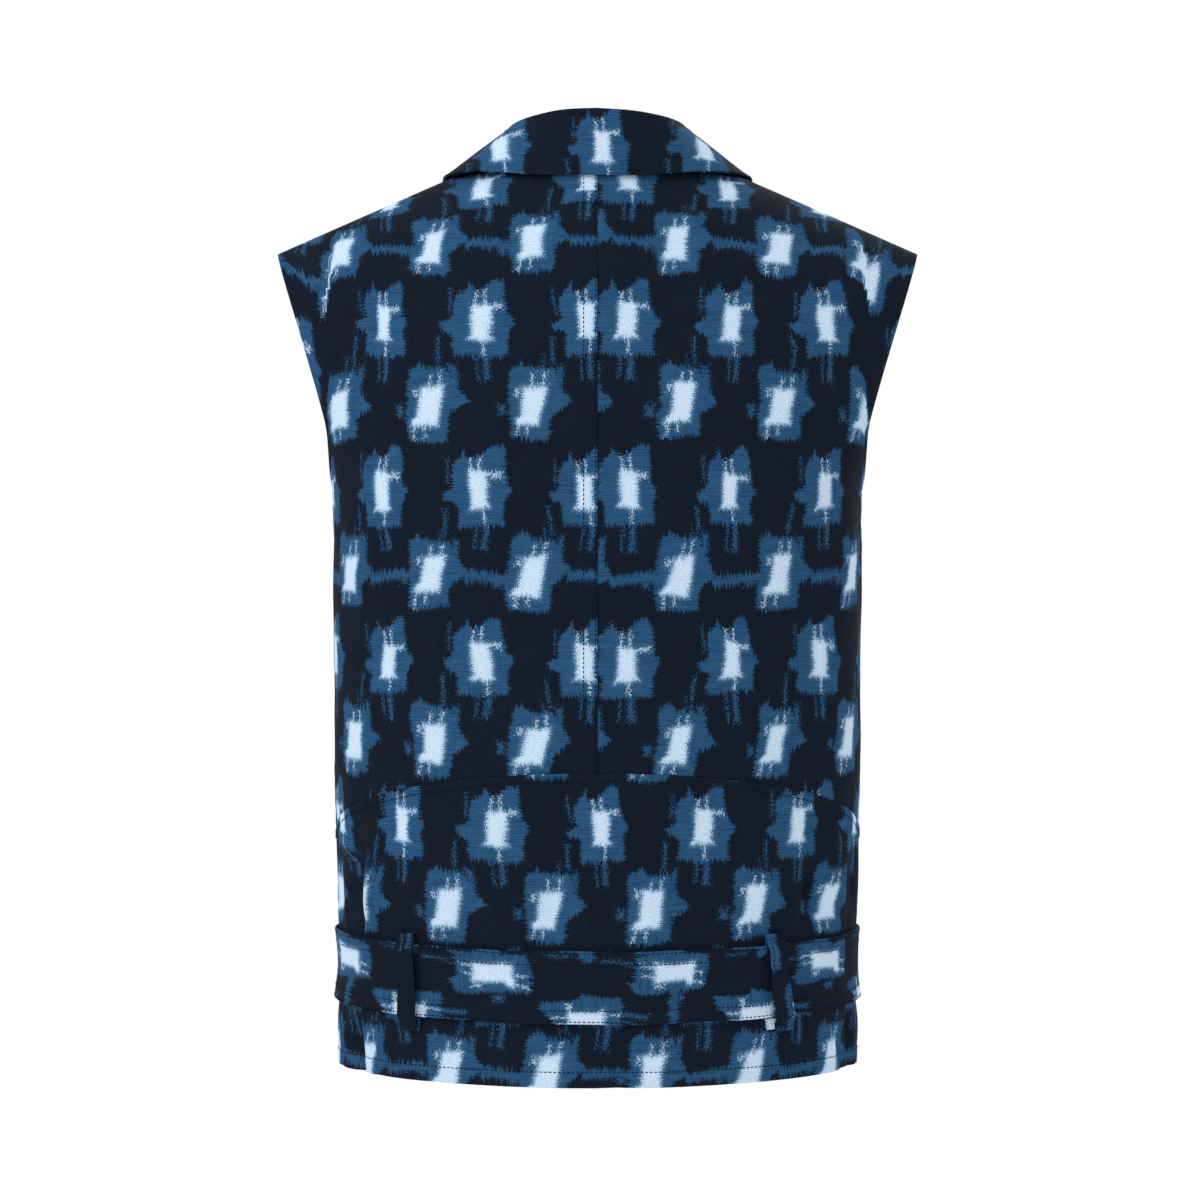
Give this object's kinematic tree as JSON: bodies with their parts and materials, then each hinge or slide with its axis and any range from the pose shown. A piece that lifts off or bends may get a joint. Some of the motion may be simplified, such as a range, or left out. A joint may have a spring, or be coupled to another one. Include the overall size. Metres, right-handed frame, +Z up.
{
  "type": "vest",
  "caption": "Sleeveless vest in printed cotton with notched lapels, a turned-down collar and a belt in loops, hollow as worn.",
  "frame": {"origin": "on the garment's middle plane, level with the points where the shoulder seams meet the neck seam: where the wearer's shoulders and neck hold it up", "axes": "+Z up along the wearer, +Y towards the wearer's back, +X towards the wearer's left"},
  "size_m": [0.4466, 0.2384, 0.6596],
  "materials": {
    "printed_cotton": "matt slubby cotton, navy ground with a blurred print in mid blue and pale blue",
    "buckle_metal": "dull grey metal"
  },
  "bodies": {
    "root": {"back_left": "printed_cotton", "back_right": "printed_cotton", "back_lower": "printed_cotton", "front_left": "printed_cotton", "front_right": "printed_cotton", "lapel_left": "printed_cotton", "lapel_right": "printed_cotton", "collar": "printed_cotton", "belt": "printed_cotton", "belt_loop_left": "printed_cotton", "belt_loop_right": "printed_cotton", "buckle": "buckle_metal"}
  },
  "joints": []
}
